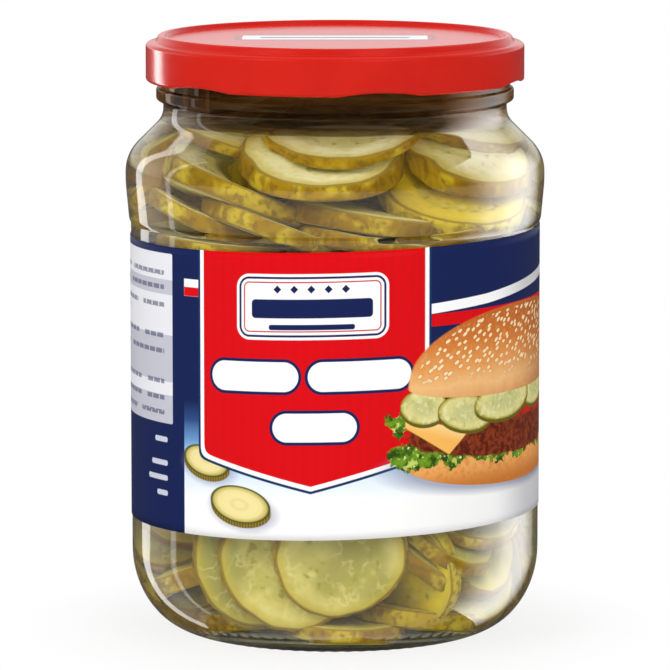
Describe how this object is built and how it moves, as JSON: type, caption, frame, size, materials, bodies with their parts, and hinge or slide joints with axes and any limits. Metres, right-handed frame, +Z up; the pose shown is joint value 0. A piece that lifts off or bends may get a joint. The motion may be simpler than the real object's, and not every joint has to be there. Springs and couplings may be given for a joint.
{
  "type": "pickle jar",
  "caption": "Round glass jar of sliced pickles in brine, with a screwed-on red metal lug lid and a printed paper label wrapped round its straight body.",
  "frame": {"origin": "centre of the base, on the surface that the jar stands on", "axes": "+Z up along the jar's axis; the middle of the label's front faces -Y, and +X is to the right of someone who faces it"},
  "size_m": [0.095, 0.095, 0.1358],
  "materials": {
    "jar_glass": "clear gloss",
    "lid_enamel": "gloss",
    "label_print": "coated, satin",
    "pickles_and_brine": "wet"
  },
  "bodies": {
    "root": {"glass_jar": "jar_glass", "lid": "lid_enamel", "label": "label_print", "pickles_in_brine": "pickles_and_brine"}
  },
  "joints": []
}
